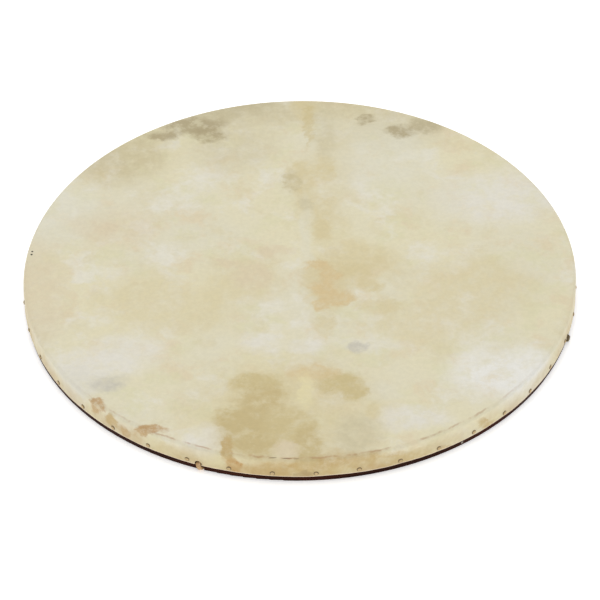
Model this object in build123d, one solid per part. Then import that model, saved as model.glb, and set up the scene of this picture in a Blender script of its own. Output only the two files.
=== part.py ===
"""Large shallow frame drum: a bent wooden hoop with a goatskin head tacked round its side, held by
two crossed leather laces that are bound into a hand grip under the head.

Frame: millimetres, +Z up through the head, origin at the centre of the hoop's lower rim.
Lace B lies along X. Angles are in degrees from +X towards +Y.
"""

from build123d import *
import os
from math import cos, hypot, pi, radians, sin, sqrt

# ---------------------------------------------------------------- driving dimensions
HOOP_RADIUS = 300.0  # outer wall of the hoop
HOOP_THICKNESS = 9.0
HOOP_DEPTH = 31.0
SKIN_THICKNESS = 1.0
BARE_RIM = 7.7  # height of the wood left bare below the skin's cut hem

TACK_COUNT = 42
TACK_PHASE = 238.5  # angle of the first tack
TACK_WANDER = 0.8  # degrees that the hand-set spacing gains and loses, twice round the hoop
TACK_ABOVE_HEM = 4.0

LACE_WIDTH = 5.0
LACE_THICKNESS = 2.6
LACE_HALF_DROP = 3.85  # half the distance from a lace's hole to its notch, along the lace's slant
LACE_SLANT = 22.0  # lean of the lace where it shows on the hoop's outer wall
LACE_MIDDLE = 5.97  # height midway between a lace's holes and its notches
LACE_A_ANGLE = 267.5
LACE_B_ANGLE = 0.0

SCARF_ANGLE = 321.5  # middle of the glued joint where the hoop's two ends overlap
SCARF_SPAN = 12.0

# ---------------------------------------------------------------- sizes worked out from them
INNER_RADIUS = HOOP_RADIUS - HOOP_THICKNESS
SKIN_RADIUS = HOOP_RADIUS + SKIN_THICKNESS
EDGE_ROUND = 3.0  # outer top edge, which the skin bends over
RIM_ROUND = 1.5  # both lower edges
BEARING_LAND = 1.5  # flat width under the skin, inside the rounded edge
BEARING_BEVEL = HOOP_THICKNESS - EDGE_ROUND - BEARING_LAND

TACK_HEIGHT = BARE_RIM + TACK_ABOVE_HEM
TACK_HEAD_RADIUS = 2.6
TACK_HEAD_EDGE = 0.35
TACK_HEAD_RISE = 1.5
TACK_SHANK_RADIUS = 0.6
TACK_LENGTH = 7.0
TACK_POINT = 2.0  # length of the tapered end

NAIL_HEAD_RADIUS = 1.5
NAIL_HEAD_DEPTH = 0.8
NAIL_SHANK_RADIUS = 0.7
NAIL_LENGTH = 7.5
NAIL_POINT = 1.0
NAIL_SIDE_STEP = 4.0  # degrees from the middle nail to each upper one
NAIL_LOW = 4.0
NAIL_HIGH = 22.0
NAIL_SEAT = sqrt(HOOP_RADIUS**2 - NAIL_HEAD_RADIUS**2)  # radius of a head's flat top, flush at its rim

FIT_CLEARANCE = 0.05  # round each shank
DEPTH_CLEARANCE = 0.2  # beyond each point
SEAM_WIDTH = 0.4
SEAM_DEPTH = 0.4

LACE_BEND = 3.2  # centreline radius where a lace turns over the wood
LACE_GAP = 0.1  # between the lace and the skin's side
LACE_REACH = SKIN_RADIUS + LACE_THICKNESS / 2 + LACE_GAP  # centreline of the stretch outside the wall
LACE_HOLE_RADIUS = 3.65  # clears the corners of the lace's turn into the hole
NOTCH_WIDTH = 6.1
NOTCH_HEIGHT = 5.0
# Heights of each lace's two strands at the crossing, measured along the slant from LACE_MIDDLE:
# lace A passes over lace B, and a pair of strands is parted by a hair.
STRAND_GAP = 0.35
STRAND_PITCH = LACE_THICKNESS + STRAND_GAP
CROSSING_A_LOW = 6.6
CROSSING_B_LOW = -1.4

WRAP_RADIUS = 5.6
WRAP_START = 15.3  # from the crossing, clear of the lashing
WRAP_END = 64.0
WRAP_ROUND = 1.2
LASHING_RADIUS = 15.0
LASHING_LOW = 1.0
LASHING_HIGH = 19.6
LASHING_ROUND = 4.0

STANDING = (Align.CENTER, Align.CENTER, Align.MIN)  # a cylinder's base, not its middle, at the origin


def corner_near(face, x, z):
    """The corner of a face in the XZ plane that lies at (x, z)."""
    return face.vertices().sort_by(lambda v: hypot(v.X - x, v.Z - z))[0]


def radial_plane(angle, radius, height):
    """A plane facing straight out of the hoop's wall, its local X pointing up."""
    out = (cos(radians(angle)), sin(radians(angle)), 0)
    return Plane(origin=(radius * out[0], radius * out[1], height), x_dir=(0, 0, 1), z_dir=out)


def drilled(angle, height, radius, inner, outer):
    """A round cutter along the hoop's radius, from one radius to another."""
    length = outer - inner
    base = radial_plane(angle, inner, height)
    return base * Cylinder(radius, length, align=STANDING)


def turned(*points):
    """A solid turned about Z from the (radius, height) corners of its half section."""
    corners = [(radius, 0, height) for radius, height in points]
    return revolve(make_face(Polyline(*corners, close=True)), axis=Axis.Z)


def tack_angles():
    """Angles of the tacks, evenly spaced but for the wander of the hand that set them."""
    turns = [(k + 0.5) / TACK_COUNT for k in range(TACK_COUNT)]
    first = TACK_PHASE - 180.0 / TACK_COUNT
    return [first + 360.0 * turn + TACK_WANDER * sin(4 * pi * turn) for turn in turns]


def nail_places():
    """(angle, height) of the three nails through the scarf joint."""
    return [
        (SCARF_ANGLE - NAIL_SIDE_STEP, NAIL_HIGH),
        (SCARF_ANGLE, NAIL_LOW),
        (SCARF_ANGLE + NAIL_SIDE_STEP, NAIL_HIGH),
    ]


def lace_ends():
    """(angle, side) of the four places where a lace passes the hoop; side is where its hole leans."""
    return [
        (LACE_A_ANGLE, 1),
        (LACE_A_ANGLE + 180, -1),
        (LACE_B_ANGLE, 1),
        (LACE_B_ANGLE + 180, -1),
    ]


def lace_hole(angle, side, inner, outer):
    lean = side * LACE_HALF_DROP * sin(radians(LACE_SLANT))
    height = LACE_MIDDLE + LACE_HALF_DROP * cos(radians(LACE_SLANT))
    cutter = radial_plane(angle, inner, height) * Pos(0, lean, 0)
    return cutter * Cylinder(LACE_HOLE_RADIUS, outer - inner, align=STANDING)


def lace_notch(angle, side):
    """The slot across the hoop's lower edge that a lace is tucked into."""
    lean = -side * LACE_HALF_DROP * sin(radians(LACE_SLANT))
    cutter = radial_plane(angle, HOOP_RADIUS - HOOP_THICKNESS / 2, 0) * Pos(0, lean, 0)
    return cutter * Box(2 * NOTCH_HEIGHT, NOTCH_WIDTH, HOOP_THICKNESS + 4)


def scarf_seams():
    """The two fine seams where the feathered ends of the glued joint show, outside and inside."""
    seams = []
    for angle, radius in (
        (SCARF_ANGLE - SCARF_SPAN / 2, HOOP_RADIUS),
        (SCARF_ANGLE + SCARF_SPAN / 2, INNER_RADIUS),
    ):
        across = radial_plane(angle, radius, HOOP_DEPTH / 2)
        seams.append(across * Box(HOOP_DEPTH + 2, SEAM_WIDTH, 2 * SEAM_DEPTH))
    return seams


# ---------------------------------------------------------------- sub-parts
def make_hoop():
    """Bent wood, its ends scarfed together, with a rounded outer edge for the skin."""
    section = make_face(
        Polyline(
            (INNER_RADIUS, 0, 0),
            (HOOP_RADIUS, 0, 0),
            (HOOP_RADIUS, 0, HOOP_DEPTH),
            (INNER_RADIUS + BEARING_BEVEL, 0, HOOP_DEPTH),
            (INNER_RADIUS, 0, HOOP_DEPTH - BEARING_BEVEL),
            close=True,
        )
    )
    for radius in (INNER_RADIUS, HOOP_RADIUS):
        section = fillet(corner_near(section, radius, 0), RIM_ROUND)
    section = fillet(corner_near(section, HOOP_RADIUS, HOOP_DEPTH), EDGE_ROUND)
    hoop = revolve(section, axis=Axis.Z)

    shank = TACK_SHANK_RADIUS + FIT_CLEARANCE
    depth = SKIN_RADIUS - TACK_LENGTH - DEPTH_CLEARANCE
    cutters = [drilled(a, TACK_HEIGHT, shank, depth, HOOP_RADIUS + 1) for a in tack_angles()]
    nail = NAIL_SHANK_RADIUS + FIT_CLEARANCE
    head = NAIL_HEAD_RADIUS + FIT_CLEARANCE
    nail_depth = NAIL_SEAT - NAIL_LENGTH - DEPTH_CLEARANCE
    for angle, height in nail_places():
        cutters.append(drilled(angle, height, nail, nail_depth, HOOP_RADIUS + 1))
        cutters.append(drilled(angle, height, head, NAIL_SEAT - NAIL_HEAD_DEPTH, HOOP_RADIUS + 1))
    for angle, side in lace_ends():
        cutters.append(lace_hole(angle, side, INNER_RADIUS - 2, HOOP_RADIUS + 2))
        cutters.append(lace_notch(angle, side))
    return hoop - cutters - scarf_seams()


def make_skin():
    """Goatskin drawn over the hoop's edge and down its side, flat across the top.

    It is one hide, handed over as two solids that meet where its flat head starts to bend.
    """
    top = HOOP_DEPTH + SKIN_THICKNESS
    section = make_face(
        Polyline(
            (0, 0, HOOP_DEPTH),
            (HOOP_RADIUS, 0, HOOP_DEPTH),
            (HOOP_RADIUS, 0, BARE_RIM),
            (SKIN_RADIUS, 0, BARE_RIM),
            (SKIN_RADIUS, 0, top),
            (0, 0, top),
            close=True,
        )
    )
    section = fillet(corner_near(section, HOOP_RADIUS, HOOP_DEPTH), EDGE_ROUND)
    section = fillet(corner_near(section, SKIN_RADIUS, top), EDGE_ROUND + SKIN_THICKNESS)
    skin = revolve(section, axis=Axis.Z)
    shank = TACK_SHANK_RADIUS + FIT_CLEARANCE
    cutters = [drilled(a, TACK_HEIGHT, shank, HOOP_RADIUS - 1, SKIN_RADIUS + 1) for a in tack_angles()]
    for angle, side in lace_ends():
        cutters.append(lace_hole(angle, side, HOOP_RADIUS - 2, SKIN_RADIUS + 2))
    skin -= cutters
    head = Cylinder(HOOP_RADIUS - EDGE_ROUND, SKIN_THICKNESS + 2, align=STANDING)
    head = Pos(0, 0, HOOP_DEPTH - 1) * head
    return skin & head, skin - head


def make_tack():
    """A domed upholstery tack standing on Z = 0, its point downwards."""
    rise = TACK_HEAD_RISE - TACK_HEAD_EDGE
    dome_radius = (TACK_HEAD_RADIUS**2 + rise**2) / (2 * rise)
    dome = Pos(0, 0, TACK_HEAD_RISE - dome_radius) * Sphere(dome_radius)
    head_block = Cylinder(TACK_HEAD_RADIUS, TACK_HEAD_RISE + 1, align=STANDING)
    shank = turned(
        (0, -TACK_LENGTH),
        (TACK_SHANK_RADIUS, TACK_POINT - TACK_LENGTH),
        (TACK_SHANK_RADIUS, 0.1),
        (0, 0.1),
    )
    return (dome & head_block) + shank


def make_tacks():
    tack = make_tack()
    return [radial_plane(a, SKIN_RADIUS, TACK_HEIGHT) * tack for a in tack_angles()]


def make_scarf_nails():
    """Flat-headed nails let in flush with the hoop's outer wall, short of its inner one."""
    nail = turned(
        (0, -NAIL_LENGTH),
        (NAIL_SHANK_RADIUS, NAIL_POINT - NAIL_LENGTH),
        (NAIL_SHANK_RADIUS, -NAIL_HEAD_DEPTH),
        (NAIL_HEAD_RADIUS, -NAIL_HEAD_DEPTH),
        (NAIL_HEAD_RADIUS, 0),
        (0, 0),
    )
    return [radial_plane(angle, NAIL_SEAT, height) * nail for angle, height in nail_places()]


def lace_plane(angle):
    """The leaning plane that a lace's loop lies in: local X along the lace, local Y up its slant."""
    along = (cos(radians(angle)), sin(radians(angle)), 0)
    lean = sin(radians(LACE_SLANT))
    up = (along[1] * lean, -along[0] * lean, cos(radians(LACE_SLANT)))
    return Plane(origin=(0, 0, LACE_MIDDLE), x_dir=along, z_dir=Vector(*along).cross(Vector(*up)))


def strand_heights(low_at_crossing, u):
    """Heights of a lace's lower and upper strand in its own plane, u from the crossing."""
    share = u / LACE_REACH
    high_at_crossing = low_at_crossing + STRAND_PITCH
    return (
        low_at_crossing + (-LACE_HALF_DROP - low_at_crossing) * share,
        high_at_crossing + (LACE_HALF_DROP - high_at_crossing) * share,
    )


def make_lace(angle, low_at_crossing):
    """A leather thong knotted into one loop: out through a hole, down the wall, back by a notch."""
    high_at_crossing = low_at_crossing + STRAND_PITCH
    loop = make_face(
        Polyline(
            (LACE_REACH, LACE_HALF_DROP),
            (LACE_REACH, -LACE_HALF_DROP),
            (0, low_at_crossing),
            (-LACE_REACH, -LACE_HALF_DROP),
            (-LACE_REACH, LACE_HALF_DROP),
            (0, high_at_crossing),
            close=True,
        )
    )
    ends = [v for v in loop.vertices() if abs(v.X) > LACE_REACH / 2]
    loop = fillet(ends, LACE_BEND)
    outer = offset(loop, LACE_THICKNESS / 2)
    inner = offset(loop, -LACE_THICKNESS / 2)
    return lace_plane(angle) * extrude(outer - inner, LACE_WIDTH / 2, both=True)


def make_wraps(angle, low_at_crossing, laces):
    """Leather wound round a lace's two strands, on each side of the crossing."""
    near = sum(strand_heights(low_at_crossing, WRAP_START)) / 2
    far = sum(strand_heights(low_at_crossing, WRAP_END)) / 2
    wraps = []
    for side in (1, -1):
        start = Vector(side * WRAP_START, near, 0)
        run = Vector(side * WRAP_END, far, 0) - start
        along = Plane(origin=start, z_dir=run)
        wrap = along * Cylinder(WRAP_RADIUS, run.length, align=STANDING)
        wrap = fillet(wrap.edges().filter_by(GeomType.CIRCLE), WRAP_ROUND)
        wraps += (lace_plane(angle) * wrap - laces).solids()
    return wraps


def make_lashing(laces):
    """The binding that holds the two laces together where they cross."""
    height = LASHING_HIGH - LASHING_LOW
    block = Pos(0, 0, LASHING_LOW + height / 2) * Cylinder(LASHING_RADIUS, height)
    block = fillet(block.edges().filter_by(GeomType.CIRCLE), LASHING_ROUND)
    return (block - laces).solids()


def write(name, solids):
    solids = solids if isinstance(solids, list) else [solids]
    shape = Compound(children=[s for part in solids for s in part.solids()])
    shape.label = name
    export_step(shape, f"parts/{name}.step")
    print(name, len(shape.solids()), "solids,", round(shape.volume), "mm3")


def main():
    os.makedirs("parts", exist_ok=True)
    lace_a = make_lace(LACE_A_ANGLE, CROSSING_A_LOW)
    lace_b = make_lace(LACE_B_ANGLE, CROSSING_B_LOW)
    laces = [lace_a, lace_b]
    write("hoop", make_hoop())
    skin_head, skin_side = make_skin()
    write("skin_head", skin_head)
    write("skin_side", skin_side)
    write("tacks", make_tacks())
    write("scarf_nails", make_scarf_nails())
    write("cross_lace_a", lace_a)
    write("cross_lace_b", lace_b)
    write("grip_wrap_a", make_wraps(LACE_A_ANGLE, CROSSING_A_LOW, laces))
    write("grip_wrap_b", make_wraps(LACE_B_ANGLE, CROSSING_B_LOW, laces))
    write("grip_lashing", make_lashing(laces))


main()
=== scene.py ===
"""Large goatskin frame drum lying on a pale floor, with its head up, seen from above the front.

Metres, +Z up through the head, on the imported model's frame. The hide, the laces and the grip are made
here and stand for their plain CAD solids; the hoop, the tacks and the nails are the CAD's own.
"""

from math import atan2, cos, hypot, pi, radians, sin

import bmesh
import bpy
from mathutils import Matrix, Vector, noise


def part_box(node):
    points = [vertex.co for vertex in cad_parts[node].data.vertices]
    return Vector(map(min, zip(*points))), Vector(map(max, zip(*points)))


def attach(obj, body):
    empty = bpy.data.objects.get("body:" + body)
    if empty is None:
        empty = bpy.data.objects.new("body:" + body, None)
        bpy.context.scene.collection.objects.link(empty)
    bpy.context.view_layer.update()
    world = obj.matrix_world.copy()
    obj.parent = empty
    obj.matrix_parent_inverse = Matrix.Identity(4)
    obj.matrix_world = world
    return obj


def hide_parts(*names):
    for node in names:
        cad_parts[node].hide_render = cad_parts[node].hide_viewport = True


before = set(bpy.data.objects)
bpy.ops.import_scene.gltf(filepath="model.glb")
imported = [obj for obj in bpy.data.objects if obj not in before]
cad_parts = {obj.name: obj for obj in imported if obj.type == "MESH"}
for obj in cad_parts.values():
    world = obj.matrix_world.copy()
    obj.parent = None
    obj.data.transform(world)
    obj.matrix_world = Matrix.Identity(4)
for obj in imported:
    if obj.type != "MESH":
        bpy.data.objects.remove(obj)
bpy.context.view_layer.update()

MM = 0.001

# ---------------------------------------------------------------- sizes, from the frame
SIDE_LOW, SIDE_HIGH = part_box("skin_side")
HOOP_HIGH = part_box("hoop")[1]
TACKS_LOW, TACKS_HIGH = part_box("tacks")
SKIN_RADIUS = SIDE_HIGH.x
SKIN_TOP = SIDE_HIGH.z
HEM_HEIGHT = SIDE_LOW.z
SKIN_THICKNESS = SKIN_TOP - HOOP_HIGH.z
HOOP_RADIUS = SKIN_RADIUS - SKIN_THICKNESS
HEAD_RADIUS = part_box("skin_head")[1].x
BEND_RADIUS = SKIN_RADIUS - HEAD_RADIUS
TACK_HEIGHT = (TACKS_LOW.z + TACKS_HIGH.z) / 2

# ---------------------------------------------------------------- sizes of the work on it
SPINE_TURN = radians(18)  # the hide's spine lies this far round from the Y axis
TACK_COUNT = 42
TACK_PHASE = radians(238.5)
TACK_WANDER = radians(0.8)
SPIN_STEPS = TACK_COUNT * 16

LACE_MIDDLE = 5.97 * MM
LACE_HALF_DROP = 3.85 * MM
LACE_SLANT = radians(22)
LACE_A_ANGLE = radians(267.5)
LACE_B_ANGLE = 0.0
LACE_HOLE_RADIUS = 3.65 * MM
LACE_REACH = SKIN_RADIUS + 1.4 * MM  # middle of the stretch of lace outside the wall

BEND_LENGTH = BEND_RADIUS * pi / 2
FLAT_RADIUS = HEAD_RADIUS + BEND_LENGTH + SKIN_TOP - BEND_RADIUS - HEM_HEIGHT
MAP_SIDE = 0.66  # the flat hide's map covers a square of this side

WRAP_START = 15.3 * MM
WRAP_END = 64.0 * MM
WRAP_CORE = 4.15 * MM  # inner radius of the leather wound round a pair of strands
WRAP_LACE_WIDTH = 3.6 * MM
WRAP_LACE_THICKNESS = 1.5 * MM
BINDING_CORE = 8.2 * MM
BINDING_SQUASH = 0.82  # the binding's height beside its width
BAND_WIDTH = 3.2 * MM
BAND_THICKNESS = 1.7 * MM
BINDING_UNEVEN = 0.15 * MM
WRAP_UNEVEN = 0.22 * MM
LACE_PITCH = 1.03  # from one turn of lace to the next, in widths of the lace
TURN_STEPS = 26
# Height of each lace's pair of strands at the crossing, up its slant from LACE_MIDDLE.
CROSSING_A = 8.075 * MM
CROSSING_B = 0.075 * MM

GRAIN_SEAM = radians(315.5)  # the outer end of the hoop's glued joint


# ---------------------------------------------------------------- tools
def colour(hexa):
    """Linear colour from an sRGB hex value."""
    channels = [int(hexa[i : i + 2], 16) / 255 for i in (0, 2, 4)]
    return [c / 12.92 if c <= 0.04045 else ((c + 0.055) / 1.055) ** 2.4 for c in channels] + [1.0]


def add(tree, kind, links=None, **settings):
    """A node with its settings; links gives each input's value or the socket that feeds it."""
    new = tree.nodes.new(kind)
    for name, value in settings.items():
        setattr(new, name, value)
    for name, value in (links or {}).items():
        if isinstance(value, bpy.types.NodeSocket):
            tree.links.new(value, new.inputs[name])
        else:
            new.inputs[name].default_value = value
    return new


def new_material(name):
    """An empty material: its tree, and the shader that its nodes feed."""
    material = bpy.data.materials.new(name)
    material.use_nodes = True
    tree = material.node_tree
    tree.nodes.clear()
    shader = tree.nodes.new("ShaderNodeBsdfPrincipled")
    output = tree.nodes.new("ShaderNodeOutputMaterial")
    tree.links.new(shader.outputs["BSDF"], output.inputs["Surface"])
    return material, tree, shader


def maths(tree, operation, first, second=0.0, clamp=False):
    links = {0: first, 1: second}
    return add(tree, "ShaderNodeMath", links, operation=operation, use_clamp=clamp).outputs[0]


def ramp(tree, value, low, high, to_low=0.0, to_high=1.0):
    """A smooth step of value from low to high."""
    links = {"Value": value, "From Min": low, "From Max": high, "To Min": to_low, "To Max": to_high}
    return add(tree, "ShaderNodeMapRange", links, interpolation_type="SMOOTHSTEP").outputs[0]


def blend(tree, factor, under, over, how="MIX"):
    mixer = tree.nodes.new("ShaderNodeMix")
    mixer.data_type = "RGBA"
    mixer.blend_type = how
    for socket, value in ((mixer.inputs[0], factor), (mixer.inputs[6], under), (mixer.inputs[7], over)):
        if isinstance(value, bpy.types.NodeSocket):
            tree.links.new(value, socket)
        else:
            socket.default_value = value
    return mixer.outputs[2]


def cloud(tree, place, size, detail=3.0, roughness=0.55, distortion=0.0):
    """Noise whose blotches are about size across, in the units of place."""
    links = {
        "Vector": place,
        "Scale": 1 / size,
        "Detail": detail,
        "Roughness": roughness,
        "Distortion": distortion,
    }
    return add(tree, "ShaderNodeTexNoise", links)


def bump(tree, shader, height, depth, strength=1.0):
    """Relief of the given depth in metres, for a height that runs from 0 to 1."""
    links = {"Height": height, "Distance": depth, "Strength": strength}
    normal = add(tree, "ShaderNodeBump", links)
    tree.links.new(normal.outputs[0], shader.inputs["Normal"])


def dress(piece, *materials):
    piece.data.materials.clear()
    for material in materials:
        piece.data.materials.append(material)


def finish_mesh(name, shape, smooth=True):
    """A new object from a bmesh."""
    mesh = bpy.data.meshes.new(name)
    for face in shape.faces:
        face.smooth = smooth
    shape.to_mesh(mesh)
    shape.free()
    piece = bpy.data.objects.new(name, mesh)
    bpy.context.scene.collection.objects.link(piece)
    return piece


def apply_modifiers(piece):
    """Turns a piece's modifiers into its mesh."""
    depsgraph = bpy.context.evaluated_depsgraph_get()
    finished = bpy.data.meshes.new_from_object(piece.evaluated_get(depsgraph))
    piece.modifiers.clear()
    piece.data = finished


# ---------------------------------------------------------------- hide
def flat_radius(radius, height):
    """How far out a point of the hide lay before the hide was bent over the hoop."""
    if radius <= HEAD_RADIUS:
        return radius
    bend_low = SKIN_TOP - BEND_RADIUS
    if height <= bend_low:
        return HEAD_RADIUS + BEND_LENGTH + bend_low - height
    return HEAD_RADIUS + BEND_RADIUS * atan2(radius - HEAD_RADIUS, height - bend_low)


def hide_outline():
    """(radius, height) down the hide's outer face, from the middle of the head to the hem."""
    rings = 22
    bend_steps = 6
    drop_steps = 12
    outline = [(HEAD_RADIUS * k / rings, SKIN_TOP) for k in range(rings)]
    bend_low = SKIN_TOP - BEND_RADIUS
    for k in range(bend_steps + 1):
        turn = pi / 2 * k / bend_steps
        outline.append((HEAD_RADIUS + BEND_RADIUS * sin(turn), bend_low + BEND_RADIUS * cos(turn)))
    for k in range(1, drop_steps + 1):
        outline.append((SKIN_RADIUS, bend_low + (HEM_HEIGHT - bend_low) * k / drop_steps))
    return outline


def hem_lift(angle):
    """The knife's wander along the hem."""
    place = Vector((cos(angle), sin(angle), 0))
    return 0.45 * MM * noise.noise(place * 9) + 0.2 * MM * noise.noise(place * 40 + Vector((3, 1, 7)))


def tack_angle(k):
    turn = (k + 0.5) / TACK_COUNT
    return TACK_PHASE + 2 * pi * k / TACK_COUNT + TACK_WANDER * sin(4 * pi * turn)


def tack_nearness(angle, height):
    """1 at a tack, falling to 0 a little way off."""
    nearest = round((angle - TACK_PHASE) / (2 * pi) * TACK_COUNT)
    off = min(abs(angle - tack_angle(k)) for k in (nearest - 1, nearest, nearest + 1))
    away = hypot(off * SKIN_RADIUS, height - TACK_HEIGHT)
    return max(0.0, 1 - away / (8 * MM)) ** 2


def settle_hide(vertex):
    """Moves one point of the finished hide: drumhead ripple, pulled tacks, wandering hem."""
    x, y, z = vertex.co
    radius, angle = hypot(x, y), atan2(y, x)
    if radius < HOOP_RADIUS - 12 * MM:
        calm = min(1.0, (HOOP_RADIUS - 12 * MM - radius) / (40 * MM))
        vertex.co.z += 0.22 * MM * calm * noise.noise(Vector((x, y, 0)) * 16)
        return
    if z > SKIN_TOP - BEND_RADIUS:
        return
    down = (SKIN_TOP - BEND_RADIUS - z) / (SKIN_TOP - BEND_RADIUS - HEM_HEIGHT)
    if radius > HOOP_RADIUS + SKIN_THICKNESS / 2:
        around = Vector((x, y, z * 1.5)) * 60
        swell = 0.35 * MM * down * (1 - tack_nearness(angle, z))
        swell += 0.16 * MM * noise.noise(around) * (1 - tack_nearness(angle, z))
        vertex.co.x += swell * cos(angle)
        vertex.co.y += swell * sin(angle)
    vertex.co.z += hem_lift(angle) * max(0.0, down * 3 - 2)


def lace_frame(angle):
    """The leaning plane of a lace's loop: along the lace, up its slant, and its normal."""
    along = Vector((cos(angle), sin(angle), 0))
    lean = sin(LACE_SLANT)
    up = Vector((along.y * lean, -along.x * lean, cos(LACE_SLANT)))
    return along, up, along.cross(up)


def lace_hole_cutter():
    """Four rods where the laces come out through the hide."""
    shape = bmesh.new()
    for angle in (LACE_A_ANGLE, LACE_B_ANGLE):
        along, up, _ = lace_frame(angle)
        for end in (1, -1):
            middle = along * (SKIN_RADIUS * end) + up * LACE_HALF_DROP
            middle.z += LACE_MIDDLE
            stand = along.to_track_quat("Z", "Y").to_matrix().to_4x4()
            bmesh.ops.create_cone(
                shape,
                cap_ends=True,
                segments=28,
                radius1=LACE_HOLE_RADIUS,
                radius2=LACE_HOLE_RADIUS,
                depth=12 * MM,
                matrix=Matrix.Translation(middle) @ stand,
            )
    return finish_mesh("lace_hole_cutter", shape)


def make_hide():
    shape = bmesh.new()
    line = [shape.verts.new((radius, 0, height)) for radius, height in hide_outline()]
    edges = [shape.edges.new(pair) for pair in zip(line, line[1:])]
    bmesh.ops.spin(
        shape,
        geom=line + edges,
        axis=(0, 0, 1),
        cent=(0, 0, 0),
        angle=2 * pi,
        steps=SPIN_STEPS,
        use_merge=True,
    )
    bmesh.ops.remove_doubles(shape, verts=shape.verts, dist=0.01 * MM)
    bmesh.ops.recalc_face_normals(shape, faces=shape.faces)
    if sum(face.normal.z for face in shape.faces) < 0:
        bmesh.ops.reverse_faces(shape, faces=shape.faces)
    bmesh.ops.solidify(shape, geom=list(shape.faces), thickness=SKIN_THICKNESS - 0.02 * MM)
    hem = [e for e in shape.edges if all(abs(v.co.z - HEM_HEIGHT) < 0.02 * MM for v in e.verts)]
    hem = [e for e in hem if not all(abs(hypot(v.co.x, v.co.y) - SKIN_RADIUS) > 0.3 * MM for v in e.verts)]
    along_hem = [e for e in hem if abs(hypot(*e.verts[0].co.xy) - hypot(*e.verts[1].co.xy)) < 0.1 * MM]
    bmesh.ops.bevel(
        shape,
        geom=along_hem,
        offset=0.35 * MM,
        offset_type="OFFSET",
        segments=3,
        profile=0.5,
        affect="EDGES",
        material=-1,
    )
    flat_map = shape.loops.layers.uv.new("flat_hide")
    for face in shape.faces:
        for loop in face.loops:
            x, y, z = loop.vert.co
            angle = atan2(y, x)
            out = flat_radius(hypot(x, y), z) / MAP_SIDE
            loop[flat_map].uv = (0.5 + out * cos(angle), 0.5 + out * sin(angle))
    for vertex in shape.verts:
        settle_hide(vertex)
    hide = finish_mesh("goatskin", shape)
    cutter = lace_hole_cutter()
    hole = hide.modifiers.new("lace holes", "BOOLEAN")
    hole.object = cutter
    hole.operation = "DIFFERENCE"
    hole.solver = "EXACT"
    apply_modifiers(hide)
    bpy.data.objects.remove(cutter)
    return hide


def share_materials(hide):
    """Neck half, rump half and flesh side, by face."""
    for face in hide.data.polygons:
        x, y, z = face.center
        spine = flat_radius(hypot(x, y), z) * sin(atan2(y, x) - SPINE_TURN)
        inner = z < SKIN_TOP - SKIN_THICKNESS / 2 and hypot(x, y) < HEAD_RADIUS - 5 * MM
        face.material_index = 2 if inner else int(spine < HIDE_SPLIT * MM)


# ---------------------------------------------------------------- hide's material
# One material can't hold every mark, so the hide's neck half and rump half have one each. They
# agree along the line between them, HIDE_SPLIT in mm along the spine.
HIDE_SPLIT = -60
MARK_DRIFT = 26  # mm that a mark's edge may stray

# The tones that the marks are painted in, from pale to dark.
TONES = {
    "chalk": "e8e6de",
    "milk": "e2ded2",
    "grey_milk": "dad6c8",
    "cream": "dedac5",
    "butter": "e1d6aa",
    "straw": "d8cca4",
    "wheat": "d4c69b",
    "stone": "ccc2a0",
    "clay": "c8bc96",
    "khaki": "cbbb8b",
    "moss": "c6b483",
    "tan": "d5bf91",
    "peach": "d9caab",
    "camel": "bfa36a",
    "ginger": "bb9766",
    "rust": "b8863f",
    "dusk": "b9ad8a",
    "smoke": "ab9d79",
    "ash": "c6c1b2",
    "drab": "93794c",
    "bark": "695a3b",
    # crease_shade is painted shade for small creases along the bend.
    "crease_shade": "4a4028",
    "pit": "2e2718",
}

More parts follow.
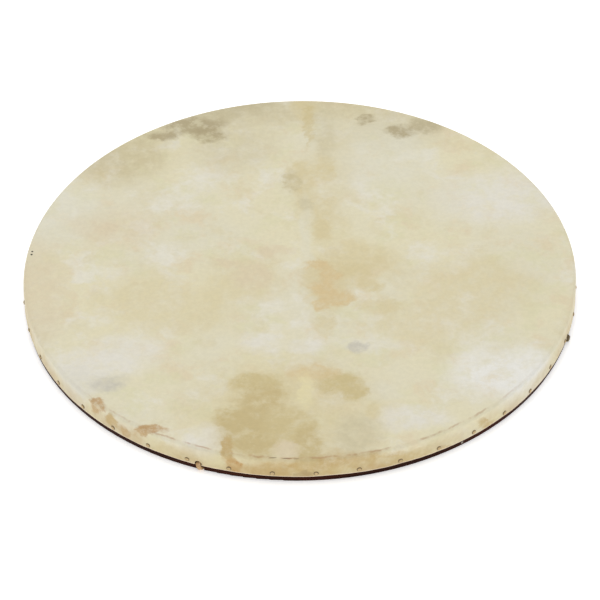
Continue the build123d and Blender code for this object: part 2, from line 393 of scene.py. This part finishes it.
# Marks on the goatskin, in mm on the flat hide with its spine along Y:
# middle, half sizes, tone, strength.
MARKS = (
    # the far edge, a little darker, and the near flanks of the neck
    ((0, 292), (230, 34), "clay", 0.6),
    ((-95, 292), (60, 26), "dusk", 0.8),
    ((105, 235), (62, 32), "stone", 0.6),
    ((45, 185), (30, 46), "wheat", 0.55),
    ((-205, 205), (55, 52), "clay", 0.75),
    ((-75, 230), (50, 60), "stone", 0.55),
    # the flanks, pale and a little grey
    ((225, 115), (62, 42), "milk", 0.75),
    ((-262, 95), (48, 50), "cream", 0.6),
    ((100, 190), (58, 60), "cream", 0.65),
    ((-285, -40), (30, 80), "peach", 0.6),
    # the spine: a warm broken band beside a paler line
    ((10, 285), (15, 34), "wheat", 0.8),
    ((30, 240), (13, 46), "stone", 0.6),
    ((4, 152), (15, 30), "wheat", 0.8),
    ((20, 105), (24, 30), "wheat", 0.7),
    ((33, 60), (20, 30), "straw", 0.6),
    ((62, 8), (46, 28), "wheat", 0.75),
    ((27, -98), (9, 26), "wheat", 0.6),
    ((8, 40), (6, 90), "cream", 0.5),
    # faint tan clouds to both sides
    ((-58, -20), (40, 34), "straw", 0.7),
    ((-92, -70), (34, 34), "straw", 0.5),
    ((-160, -50), (54, 46), "straw", 0.6),
    ((-205, 75), (46, 32), "peach", 0.5),
    ((190, -40), (62, 50), "straw", 0.7),
    ((130, -95), (52, 34), "straw", 0.6),
    # whitish, scraped thinner
    ((-42, -126), (20, 15), "milk", 0.75),
    ((5, -127), (20, 10), "milk", 0.7),
    ((-222, -152), (52, 20), "milk", 0.8),
    ((-236, -180), (34, 20), "grey_milk", 0.7),
    ((-202, -182), (18, 14), "ash", 0.75),
    ((-185, -130), (40, 26), "milk", 0.6),
    ((220, -178), (60, 38), "chalk", 0.9),
    ((72, -128), (40, 12), "milk", 0.5),
    ((-100, -272), (28, 18), "chalk", 0.9),
    ((112, -242), (40, 18), "milk", 0.8),
    ((82, -205), (18, 14), "cream", 0.6),
    # the big stain at the front, in its parts
    ((-15, -240), (92, 86), "wheat", 0.65),
    # the side at the front, where the stain runs down over the edge
    ((-8, -314), (84, 13), "camel", 0.9),
    ((104, -299), (66, 13), "camel", 0.85),
    ((-150, -285), (60, 12), "khaki", 0.5),
)
# The same, with ragged edges.
PATCHES = (
    # the tan patch beside the spine
    ((30, -26), (26, 44), "wheat", 0.75),
    ((18, 4), (13, 9), "tan", 0.9),
    ((34, -14), (11, 15), "tan", 0.85),
    ((26, -36), (15, 13), "tan", 0.9),
    ((44, -52), (16, 12), "tan", 0.9),
    ((24, -62), (9, 14), "tan", 0.9),
    ((66, -8), (20, 16), "wheat", 0.85),
    ((76, -30), (14, 9), "wheat", 0.8),
    ((60, 30), (14, 18), "straw", 0.7),
    ((86, -66), (22, 14), "wheat", 0.6),
    # brownish specks left of the spine
    ((-26, 28), (20, 8), "peach", 0.7),
    ((-52, -14), (22, 22), "peach", 0.7),
    ((-78, 10), (16, 8), "peach", 0.6),
    ((-94, -52), (10, 22), "straw", 0.5),
    ((-215, 72), (16, 12), "peach", 0.6),
    # the spine
    ((13, 256), (4.5, 46), "khaki", 0.55),
    ((-8, 150), (10, 18), "clay", 0.85),
    ((8, 108), (9, 12), "stone", 0.7),
    ((30, 168), (10, 22), "wheat", 0.7),
    ((26, 66), (12, 20), "wheat", 0.8),
    # the big stain at the front, in its parts
    ((-46, -186), (26, 17), "khaki", 0.95),
    ((-42, -212), (27, 24), "moss", 0.9),
    ((-70, -240), (18, 18), "moss", 1.0),
    ((-50, -262), (34, 34), "moss", 1.0),
    ((-14, -252), (24, 26), "khaki", 0.9),
    ((6, -280), (14, 28), "moss", 0.9),
    ((40, -187), (24, 17), "khaki", 0.95),
    ((54, -202), (15, 12), "khaki", 0.9),
    ((14, -172), (26, 12), "tan", 0.7),
    ((4, -198), (8, 24), "butter", 0.95),
    ((58, -264), (24, 28), "stone", 0.8),
    ((74, -228), (10, 14), "wheat", 0.7),
    ((-16, -287), (14, 12), "peach", 0.8),
)
# Small sharp marks: the smudges at the neck end, the rusty streaks, a few specks.
SHARP_MARKS = (
    ((-155, 237), (20, 9), "smoke", 0.8),
    ((-120, 254), (37, 16), "smoke", 0.8),
    ((-102, 236), (20, 13), "smoke", 0.8),
    ((80, 262), (9, 9), "smoke", 0.8),
    ((120, 240), (19, 11), "smoke", 0.8),
    ((150, 250), (20, 14), "dusk", 0.8),
    ((62, -131), (12, 8), "ash", 0.8),
    ((-77, -284), (7, 18), "camel", 0.8),
    ((-74, -310), (8, 13), "rust", 1.0),
    ((-216, -215), (12, 8), "ginger", 0.85),
    ((-204, -236), (8, 8), "camel", 0.8),
    ((-193, -250), (6, 8), "ginger", 0.8),
    ((-159, -254), (20, 6), "ginger", 0.9),
    ((206, -245), (20, 6), "camel", 0.8),
    ((164, -282), (16, 5), "ginger", 0.7),
    ((0, -321), (11, 4), "drab", 0.8),
)
# Two pin holes at the edge, and three short dark lines along the bend that are painted shade in small
# creases of the hide, none of them blurred.
PIN_MARKS = (
    ((-293.5, 32.6), (1.1, 1.1), "pit", 1.0),
    ((-294.0, 27.6), (1.2, 1.2), "pit", 1.0),
    ((-30, -297.4), (4.0, 0.45), "crease_shade", 0.7),
    ((-15.5, -298.6), (5.0, 0.45), "crease_shade", 0.75),
    ((-6, -299.2), (3.0, 0.4), "bark", 0.6),
)


def hide_place(tree):
    """Position on the flat hide in mm, its spine along Y."""
    spot = add(tree, "ShaderNodeUVMap", uv_map="flat_hide").outputs[0]
    side = MAP_SIDE / MM
    turn = Matrix.Rotation(-SPINE_TURN, 3, "Z")
    middle = turn @ Vector((side / 2, side / 2, 0))
    links = {
        "Vector": spot,
        "Location": -middle,
        "Rotation": (0, 0, -SPINE_TURN),
        "Scale": (side, side, 1),
    }
    return add(tree, "ShaderNodeMapping", links).outputs[0]


def wander(tree, place, size, amount):
    """Place, pushed about by up to amount, so that what is drawn there gets an uneven edge."""
    push = cloud(tree, place, size, detail=4, roughness=0.6).outputs["Color"]
    centred = add(
        tree, "ShaderNodeVectorMath", {0: push, 1: (0.5, 0.5, 0.5)}, operation="SUBTRACT"
    ).outputs[0]
    scaled = add(
        tree, "ShaderNodeVectorMath", {0: centred, 1: (2 * amount, 2 * amount, 0)}, operation="MULTIPLY"
    ).outputs[0]
    return add(tree, "ShaderNodeVectorMath", {0: place, 1: scaled}, operation="ADD").outputs[0]


def stain(tree, under, place, mottle, middle, half, tone_name, strength, edge):
    """One soft mark over the colour so far; edge is how much of its half size fades."""
    scale = (1 / half[0], 1 / half[1], 0)
    shift = (-middle[0] / half[0], -middle[1] / half[1], 0)
    local = add(tree, "ShaderNodeMapping", {"Vector": place, "Location": shift, "Scale": scale}).outputs[0]
    away = add(tree, "ShaderNodeVectorMath", {0: local}, operation="LENGTH").outputs["Value"]
    inside = ramp(tree, away, 1 + edge, 1 - edge, 0.0, strength)
    return blend(tree, maths(tree, "MULTIPLY", inside, mottle, clamp=True), under, colour(TONES[tone_name]))


def marks_near(marks, half_name):
    """The marks that reach onto the neck half or the rump half of the hide."""
    side = 1 if half_name == "neck" else -1
    return [mark for mark in marks if side * (mark[0][1] - HIDE_SPLIT) > -1.5 * mark[1][1] - MARK_DRIFT]


def goatskin(half_name):
    """Goatskin, limed, scraped and dried on the hoop: a smooth, slightly waxy cream face with the
    animal's own stains, fine pores and a faint network of creases. Dried hide has an IOR near 1.5."""
    material, tree, shader = new_material("goatskin_grain_side_" + half_name)
    place = hide_place(tree)
    broad = cloud(tree, place, 150, detail=4).outputs[0]
    drift = cloud(tree, place, 38, detail=5, roughness=0.62, distortion=0.4).outputs[0]
    grit = cloud(tree, place, 5.5, detail=4, roughness=0.7).outputs[0]
    pores = cloud(tree, place, 1.6, detail=2, roughness=0.6).outputs[0]

    warmth = cloud(tree, wander(tree, place, 30, 12), 52, detail=6, roughness=0.66).outputs["Color"]
    warm, cool, green = add(tree, "ShaderNodeSeparateColor", {0: warmth}).outputs

    tone = blend(tree, ramp(tree, broad, 0.35, 0.65), colour("e0d8b7"), colour("ddd7be"))
    tone = blend(tree, ramp(tree, warm, 0.5, 0.66, 0, 0.75), tone, colour("dccdac"))
    tone = blend(tree, ramp(tree, green, 0.5, 0.64, 0, 0.6), tone, colour("d9d4ae"))
    tone = blend(tree, ramp(tree, cool, 0.5, 0.68, 0, 0.75), tone, colour("e4e0d2"))
    tone = blend(tree, ramp(tree, drift, 0.5, 0.68, 0, 0.4), tone, colour("d6caa2"))

    loose = wander(tree, wander(tree, place, 46, 20), 10, 6)
    ragged = wander(tree, wander(tree, place, 26, 13), 7, 7)
    tight = wander(tree, wander(tree, place, 20, 11), 6, 5)
    mottle = ramp(tree, cloud(tree, place, 17, detail=6, roughness=0.7).outputs[0], 0.32, 0.6, 0.5, 1.1)
    fleck = ramp(tree, cloud(tree, place, 15, detail=6, roughness=0.7).outputs[0], 0.36, 0.58, 0.4, 1.05)
    for middle, half, tone_name, strength in marks_near(MARKS, half_name):
        tone = stain(tree, tone, loose, mottle, middle, half, tone_name, strength, 0.5)
    for middle, half, tone_name, strength in marks_near(PATCHES, half_name):
        tone = stain(tree, tone, ragged, mottle, middle, half, tone_name, strength, 0.4)
    for middle, half, tone_name, strength in marks_near(SHARP_MARKS, half_name):
        tone = stain(tree, tone, tight, fleck, middle, half, tone_name, strength, 0.35)
    for middle, half, tone_name, strength in marks_near(PIN_MARKS, half_name):
        tone = stain(tree, tone, place, 1.0, middle, half, tone_name, strength, 0.3)

    # The rim: a broken reddish-brown line where the hide bends, strongest at the front, then a yellower side
    # down to the pale cut hem.
    out = add(tree, "ShaderNodeVectorMath", {0: place}, operation="LENGTH").outputs["Value"]
    bend_middle = (HEAD_RADIUS + BEND_LENGTH / 2) / MM
    hem_radius = FLAT_RADIUS / MM
    side = ramp(tree, out, bend_middle, hem_radius - 6, 0, 0.5)
    side_tone = blend(tree, ramp(tree, drift, 0.38, 0.62), colour("d3c598"), colour("c4aa78"))
    tone = blend(tree, side, tone, side_tone)
    stray = ramp(tree, cloud(tree, place, 14, detail=4).outputs[0], 0.3, 0.7, -0.9, 0.9)
    strayed = maths(tree, "ADD", out, stray)
    off_line = maths(tree, "ABSOLUTE", maths(tree, "SUBTRACT", strayed, bend_middle - 1.5))
    line = ramp(tree, off_line, 1.7, 0.2)
    broken = ramp(tree, cloud(tree, place, 17, detail=4).outputs[0], 0.42, 0.62, 0.04, 0.55)
    along_spine = add(tree, "ShaderNodeSeparateXYZ", {0: place}).outputs[1]
    bend_line_and_painted_crown_highlight = maths(tree, "MULTIPLY", broken, ramp(tree, along_spine, -170, -260, 0.06, 1.0))
    tone = blend(tree, maths(tree, "MULTIPLY", line, bend_line_and_painted_crown_highlight), tone, colour("ab7f5c"))
    hem = ramp(tree, out, hem_radius - 1.3, hem_radius - 0.5, 0, 0.85)
    tone = blend(tree, hem, tone, colour("efdcc0"))

    fine = ramp(tree, grit, 0.3, 0.7, 0.965, 1.025)
    fine_grey = add(tree, "ShaderNodeCombineColor", {0: fine, 1: fine, 2: fine}).outputs[0]
    tone = blend(tree, 1.0, tone, fine_grey, "MULTIPLY")
    speck = ramp(tree, pores, 0.36, 0.28, 0, 0.16)
    tone = blend(tree, speck, tone, colour("b8a67c"))
    tree.links.new(tone, shader.inputs["Base Color"])
    tree.links.new(ramp(tree, drift, 0.3, 0.7, 0.52, 0.64), shader.inputs["Roughness"])
    shader.inputs["IOR"].default_value = 1.5
    shader.inputs["Specular IOR Level"].default_value = 0.35
    relief = maths(tree, "ADD", maths(tree, "MULTIPLY", grit, 0.7), maths(tree, "MULTIPLY", pores, 0.3))
    bump(tree, shader, relief, 0.1 * MM, 0.4)
    return material


def flesh_side():
    """The hide's inner face: scraped, fibrous and a little darker, with the stains showing through."""
    material, tree, shader = new_material("goatskin_flesh_side")
    place = hide_place(tree)
    fibres = add(tree, "ShaderNodeMapping", {"Vector": place, "Scale": (1, 0.22, 1)}).outputs[0]
    strand = cloud(tree, fibres, 3.5, detail=5, roughness=0.7).outputs[0]
    patch = cloud(tree, place, 60, detail=5, roughness=0.6).outputs[0]
    tone = blend(tree, ramp(tree, patch, 0.35, 0.65), colour("cbb98d"), colour("d8caa2"))
    tone = blend(tree, ramp(tree, strand, 0.4, 0.7, 0, 0.5), tone, colour("b79f70"))
    tree.links.new(tone, shader.inputs["Base Color"])
    shader.inputs["Roughness"].default_value = 0.72
    shader.inputs["IOR"].default_value = 1.5
    bump(tree, shader, strand, 0.15 * MM, 0.8)
    return material


# ---------------------------------------------------------------- hoop's material
def hoop_place(tree):
    """Position round the hoop in mm: along the strip, across its thickness, up its width."""
    spot = add(tree, "ShaderNodeTexCoord").outputs["Object"]
    turned = add(tree, "ShaderNodeMapping", {"Vector": spot, "Rotation": (0, 0, pi - GRAIN_SEAM)}).outputs[0]
    axes = add(tree, "ShaderNodeSeparateXYZ", {0: turned}).outputs
    angle = maths(tree, "ARCTAN2", axes[1], axes[0])
    flat = add(tree, "ShaderNodeCombineXYZ", {0: axes[0], 1: axes[1], 2: 0.0}).outputs[0]
    radius = add(tree, "ShaderNodeVectorMath", {0: flat}, operation="LENGTH").outputs["Value"]
    along = maths(tree, "MULTIPLY", angle, HOOP_RADIUS / MM)
    across = maths(tree, "MULTIPLY", radius, 1 / MM)
    up = maths(tree, "MULTIPLY", axes[2], 1 / MM)
    return add(tree, "ShaderNodeCombineXYZ", {0: along, 1: across, 2: up}).outputs[0]


def stained_ash():
    """Steam-bent ash, stained a dark red-brown and oiled: open straight grain along the strip, darker
    pores, a soft sheen, and lighter wood where the lower edge is rubbed."""
    material, tree, shader = new_material("stained_ash")
    place = hoop_place(tree)
    grain_place = add(tree, "ShaderNodeMapping", {"Vector": place, "Scale": (0.02, 1, 1)}).outputs[0]
    grain = cloud(tree, grain_place, 1.6, detail=5, roughness=0.65).outputs[0]
    pore_place = add(tree, "ShaderNodeMapping", {"Vector": place, "Scale": (0.08, 1, 1)}).outputs[0]
    pore = cloud(tree, pore_place, 0.45, detail=2).outputs[0]
    drift = cloud(tree, place, 70, detail=3).outputs[0]
    tone = blend(tree, ramp(tree, grain, 0.35, 0.65), colour("240b03"), colour("3d1a0a"))
    tone = blend(tree, ramp(tree, drift, 0.5, 0.68, 0, 0.75), tone, colour("381006"))
    tone = blend(tree, ramp(tree, pore, 0.42, 0.32, 0, 0.7), tone, colour("140602"))
    height = add(tree, "ShaderNodeSeparateXYZ", {0: place}).outputs[2]
    rub = maths(tree, "MULTIPLY", ramp(tree, height, 1.2, 0.2), ramp(tree, grain, 0.45, 0.65))
    tone = blend(tree, maths(tree, "MULTIPLY", rub, 0.45), tone, colour("8a5f3c"))
    tree.links.new(tone, shader.inputs["Base Color"])
    tree.links.new(ramp(tree, grain, 0.3, 0.7, 0.42, 0.58), shader.inputs["Roughness"])
    shader.inputs["IOR"].default_value = 1.5
    shader.inputs["Specular IOR Level"].default_value = 0.06
    relief = maths(tree, "ADD", maths(tree, "MULTIPLY", grain, 0.5), maths(tree, "MULTIPLY", pore, 0.5))
    bump(tree, shader, relief, 0.12 * MM, 0.8)
    return material


# ---------------------------------------------------------------- metal
def from_axis(tree):
    """Distance from the drum's axis, in mm."""
    axes = add(tree, "ShaderNodeSeparateXYZ", {0: add(tree, "ShaderNodeTexCoord").outputs["Object"]}).outputs
    flat = add(tree, "ShaderNodeCombineXYZ", {0: axes[0], 1: axes[1], 2: 0.0}).outputs[0]
    away = add(tree, "ShaderNodeVectorMath", {0: flat}, operation="LENGTH").outputs["Value"]
    return maths(tree, "MULTIPLY", away, 1 / MM)


def brass_painted_shade_and_highlight():
    """Pressed brass tack heads with blotchy tarnish; their colour is painted dark round the rim as shade on
    the dome's flanks, and painted light and more metallic on the crown as a highlight.
    """
    material, tree, shader = new_material("brass_painted_shade_and_highlight")
    spot = add(tree, "ShaderNodeTexCoord").outputs["Object"]
    # The crown mask is painted light: 1 on the dome's crown for a painted highlight, 0 round its rim for
    # painted shade; the blotch noise is tarnish.
    crown = ramp(tree, from_axis(tree), SKIN_RADIUS / MM + 0.45, SKIN_RADIUS / MM + 1.2)
    blotch = cloud(tree, spot, 1.2 * MM, detail=4, roughness=0.7).outputs[0]
    bend_line_and_painted_crown_highlight = maths(tree, "MULTIPLY", crown, ramp(tree, blotch, 0.3, 0.6, 0.6, 1.0))
    # 685534 is painted shade round the rim and cab287 a painted highlight on the crown.
    tone = blend(tree, bend_line_and_painted_crown_highlight, colour("685534"), colour("cab287"))
    tree.links.new(tone, shader.inputs["Base Color"])
    tree.links.new(maths(tree, "MULTIPLY", bend_line_and_painted_crown_highlight, 0.9), shader.inputs["Metallic"])
    tree.links.new(ramp(tree, blotch, 0.3, 0.7, 0.35, 0.6), shader.inputs["Roughness"])
    bump(tree, shader, blotch, 0.05 * MM, 0.6)
    return material


def steel():
    """Plain steel nail heads, dull grey with brown rust starting."""
    material, tree, shader = new_material("dull_steel")
    spot = add(tree, "ShaderNodeTexCoord").outputs["Object"]
    rust = cloud(tree, spot, 0.8 * MM, detail=4, roughness=0.7).outputs[0]
    tone = blend(tree, ramp(tree, rust, 0.5, 0.66, 0, 0.8), colour("a09a8d"), colour("6b4a30"))
    tree.links.new(tone, shader.inputs["Base Color"])
    shader.inputs["Metallic"].default_value = 0.85
    tree.links.new(ramp(tree, rust, 0.3, 0.7, 0.35, 0.65), shader.inputs["Roughness"])
    bump(tree, shader, rust, 0.04 * MM, 0.6)
    return material


# ---------------------------------------------------------------- laces
def lace_rawhide(name, pale, tan, crease):
    """Rawhide lace, cut from the same kind of hide: tan, fibrous along its length, darker where it
    is creased and handled."""
    material, tree, shader = new_material(name)
    spot = add(tree, "ShaderNodeTexCoord").outputs["Object"]
    place = add(tree, "ShaderNodeMapping", {"Vector": spot, "Scale": (1000, 1000, 1000)}).outputs[0]
    patch = cloud(tree, place, 9, detail=4, roughness=0.6).outputs[0]
    fibre = cloud(tree, place, 0.9, detail=3, roughness=0.7).outputs[0]
    tone = blend(tree, ramp(tree, patch, 0.35, 0.65), colour(tan), colour(pale))
    tone = blend(tree, ramp(tree, fibre, 0.5, 0.66, 0, 0.55), tone, colour(crease))
    tree.links.new(tone, shader.inputs["Base Color"])
    shader.inputs["Roughness"].default_value = 0.6
    shader.inputs["IOR"].default_value = 1.5
    bump(tree, shader, fibre, 0.1 * MM, 0.8)
    return material


def soften_lace(node, name):
    """A lace with cut edges rounded by handling and a slightly uneven width, from its CAD solid."""
    piece = bpy.data.objects.new(name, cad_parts[node].data.copy())
    bpy.context.scene.collection.objects.link(piece)
    shape = bmesh.new()
    shape.from_mesh(piece.data)
    bmesh.ops.remove_doubles(shape, verts=shape.verts, dist=0.001 * MM)
    shape.to_mesh(piece.data)
    shape.free()
    remesh = piece.modifiers.new("even mesh", "REMESH")
    remesh.mode = "VOXEL"
    remesh.voxel_size = 0.6 * MM
    apply_modifiers(piece)
    shape = bmesh.new()
    shape.from_mesh(piece.data)
    for _ in range(4):
        bmesh.ops.smooth_vert(
            shape, verts=shape.verts, factor=0.5, use_axis_x=True, use_axis_y=True, use_axis_z=True
        )
    for vertex in shape.verts:
        wobble = noise.noise(vertex.co * 130) * 0.28 + noise.noise(vertex.co * 420) * 0.1
        vertex.co += vertex.normal * (wobble * MM)
    for face in shape.faces:
        face.smooth = True
    shape.to_mesh(piece.data)
    shape.free()
    return piece


def strap_ring(shape, wide, thick):
    """A closed ring of edges across a flat strap with rounded edges, in the XZ plane at the origin."""
    made = bmesh.ops.create_circle(shape, cap_ends=False, segments=12, radius=1.0)
    for vertex in made["verts"]:
        x, y, _ = vertex.co
        square = (abs(x) ** 4 + abs(y) ** 4) ** -0.25
        vertex.co = Vector((y * square * thick / 2, 0, x * square * wide / 2))
    edges = {edge for vertex in made["verts"] for edge in vertex.link_edges}
    return made["verts"], list(edges)


def wind(shape, length, place):
    """Flat lace wound side by side round the local Z axis, then moved to its place."""
    radius, wide, thick = WRAP_CORE, WRAP_LACE_WIDTH, WRAP_LACE_THICKNESS
    turns = max(2, round(length / (wide * LACE_PITCH)))
    steps = TURN_STEPS * turns
    ring, edges = strap_ring(shape, wide, thick)
    bmesh.ops.translate(shape, verts=ring, vec=(radius + thick / 2, 0, wide / 2))
    first = list(ring)
    rise = (length - wide) / steps
    spun = bmesh.ops.spin(
        shape,
        geom=ring + edges,
        axis=(0, 0, 1),
        cent=(0, 0, 0),
        dvec=(0, 0, rise),
        angle=2 * pi * turns,
        steps=steps,
        use_merge=False,
    )
    last = [part for part in spun["geom_last"] if isinstance(part, bmesh.types.BMVert)]
    for end in (first, last):
        bmesh.ops.contextual_create(shape, geom=end)
    used = set(first)
    grown = [first[0]]
    while grown:
        vertex = grown.pop()
        for edge in vertex.link_edges:
            other = edge.other_vert(vertex)
            if other not in used:
                used.add(other)
                grown.append(other)
    for vertex in used:
        swell = noise.noise(vertex.co * 250) * WRAP_UNEVEN
        vertex.co.x += swell * vertex.co.x / radius
        vertex.co.y += swell * vertex.co.y / radius
    bmesh.ops.transform(shape, matrix=place, verts=list(used))


def strand_line(angle, crossing, out):
    """The point midway between a lace's two strands, out from the crossing along the lace."""
    along, up, _ = lace_frame(angle)
    level = crossing * (1 - abs(out) / LACE_REACH)
    return along * out + up * level + Vector((0, 0, LACE_MIDDLE))


def make_wrap(name, angle, crossing):
    """Leather wound round a lace's two strands, on both sides of the crossing."""
    shape = bmesh.new()
    for side in (1, -1):
        near = strand_line(angle, crossing, side * WRAP_START)
        far = strand_line(angle, crossing, side * WRAP_END)
        stand = (far - near).to_track_quat("Z", "Y").to_matrix().to_4x4()
        place = Matrix.Translation(near) @ stand
        wind(shape, (far - near).length, place)
    bmesh.ops.recalc_face_normals(shape, faces=shape.faces)
    return finish_mesh(name, shape)


def ball_band(shape, middle, reach, off, turn):
    """One flat turn of lace round a ball at middle, off to one side of its widest line."""
    ring, edges = strap_ring(shape, BAND_WIDTH, BAND_THICKNESS)
    bmesh.ops.translate(shape, verts=ring, vec=((reach**2 - off**2) ** 0.5, 0, off))
    before = set(shape.verts) - set(ring)
    bmesh.ops.spin(
        shape,
        geom=ring + edges,
        axis=(0, 0, 1),
        cent=(0, 0, 0),
        angle=2 * pi,
        steps=48,
        use_merge=True,
    )
    flatten = Matrix.Diagonal((BINDING_SQUASH, 1, 1, 1))
    stand = Matrix.Rotation(turn, 4, "Z") @ Matrix.Rotation(pi / 2, 4, "Y")
    band = [vertex for vertex in shape.verts if vertex not in before]
    bmesh.ops.transform(shape, matrix=Matrix.Translation(middle) @ stand @ flatten, verts=band)


def make_binding():
    """The lashing at the crossing: five turns each way over a packed core."""
    shape = bmesh.new()
    low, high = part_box("grip_lashing")
    middle = Vector((0, 0, (low.z + high.z) / 2))
    core = bmesh.ops.create_icosphere(shape, subdivisions=4, radius=BINDING_CORE)["verts"]
    bmesh.ops.translate(shape, verts=core, vec=middle)
    between = LACE_A_ANGLE / 2
    for layer, turn in enumerate((between - pi / 2, between)):
        for k in (-2, -1, 0, 1, 2):
            reach = BINDING_CORE + (layer + 0.9) * BAND_THICKNESS
            ball_band(shape, middle, reach, k * BAND_WIDTH * LACE_PITCH, turn)
    for vertex in shape.verts:
        vertex.co += vertex.normal * noise.noise(vertex.co * 300) * BINDING_UNEVEN
    bmesh.ops.recalc_face_normals(shape, faces=shape.faces)
    return finish_mesh("grip_binding", shape)


# ---------------------------------------------------------------- stage
def make_stage():
    shape = bmesh.new()
    bmesh.ops.create_circle(shape, cap_ends=True, segments=64, radius=9.0)
    floor = finish_mesh("floor", shape)
    material, tree, shader = new_material("white_studio_paper")
    shader.inputs["Base Color"].default_value = colour("fafafa")
    shader.inputs["Roughness"].default_value = 0.9
    shader.inputs["Specular IOR Level"].default_value = 0.0
    shader.inputs["Emission Color"].default_value = colour("ffffff")
    shader.inputs["Emission Strength"].default_value = 0.42
    dress(floor, material)

    world = bpy.data.worlds.new("studio")
    world.use_nodes = True
    world.node_tree.nodes["Background"].inputs["Color"].default_value = (1, 1, 1, 1)
    world.node_tree.nodes["Background"].inputs["Strength"].default_value = 0.6
    bpy.context.scene.world = world

    def soft_box(name, place, size, power):
        light = bpy.data.lights.new(name, "AREA")
        light.shape = "SQUARE"
        light.size = size
        light.energy = power
        holder = bpy.data.objects.new(name, light)
        holder.location = place
        holder.rotation_euler = (-Vector(place)).to_track_quat("-Z", "Y").to_euler()
        bpy.context.scene.collection.objects.link(holder)

    soft_box("overhead", (-0.3, 0.6, 3.2), 2.6, 45)
    soft_box("front", (0.9, -3.0, 1.5), 2.2, 8)


def make_camera():
    data = bpy.data.cameras.new("camera")
    data.sensor_width = 36
    data.lens = 180
    data.clip_end = 50
    camera = bpy.data.objects.new("camera", data)
    away = 8.271 * SKIN_RADIUS
    height = 7.166 * SKIN_RADIUS
    down = radians(41.111)
    camera.matrix_world = (
        Matrix.Rotation(SPINE_TURN, 4, "Z")
        @ Matrix.Translation((0, -away, height))
        @ Matrix.Rotation(pi / 2 - down, 4, "X")
        @ Matrix.Rotation(radians(-0.802), 4, "Z")
    )
    bpy.context.scene.collection.objects.link(camera)
    bpy.context.scene.camera = camera


# ---------------------------------------------------------------- assembly
bpy.context.scene.view_settings.view_transform = "Standard"
make_stage()
make_camera()

hide = make_hide()
dress(hide, goatskin("neck"), goatskin("rump"), flesh_side())
share_materials(hide)
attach(hide, "root")
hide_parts("skin_head", "skin_side")

dress(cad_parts["hoop"], stained_ash())
dress(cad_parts["tacks"], brass_painted_shade_and_highlight())
dress(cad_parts["scarf_nails"], steel())

pale_lace = lace_rawhide("rawhide_lace", "d0b088", "b7925f", "8e6b42")
# Lace B is the same cream rawhide as lace A; this darker copy of its colours is painted shade over the whole
# lace.
shaded_lace = lace_rawhide("rawhide_lace_painted_shade", "857649", "5f4d2c", "3c2f18")
wound_lace = lace_rawhide("tan_leather_lace", "a87f4e", "8a6238", "5e4022")
PIECES = (
    (soften_lace("cross_lace_a", "lace_a"), "cross_lace_a", "lace_leather", pale_lace),
    (soften_lace("cross_lace_b", "lace_b"), "cross_lace_b", "lace_leather", shaded_lace),
    (make_wrap("wrap_a", LACE_A_ANGLE, CROSSING_A), "grip_wrap_a", "wrap_leather", wound_lace),
    (make_wrap("wrap_b", LACE_B_ANGLE, CROSSING_B), "grip_wrap_b", "wrap_leather", wound_lace),
    (make_binding(), "grip_lashing", "wrap_leather", wound_lace),
)
for piece, node_name, slot_name, leather in PIECES:
    dress(piece, leather)
    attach(piece, "root")
    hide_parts(node_name)
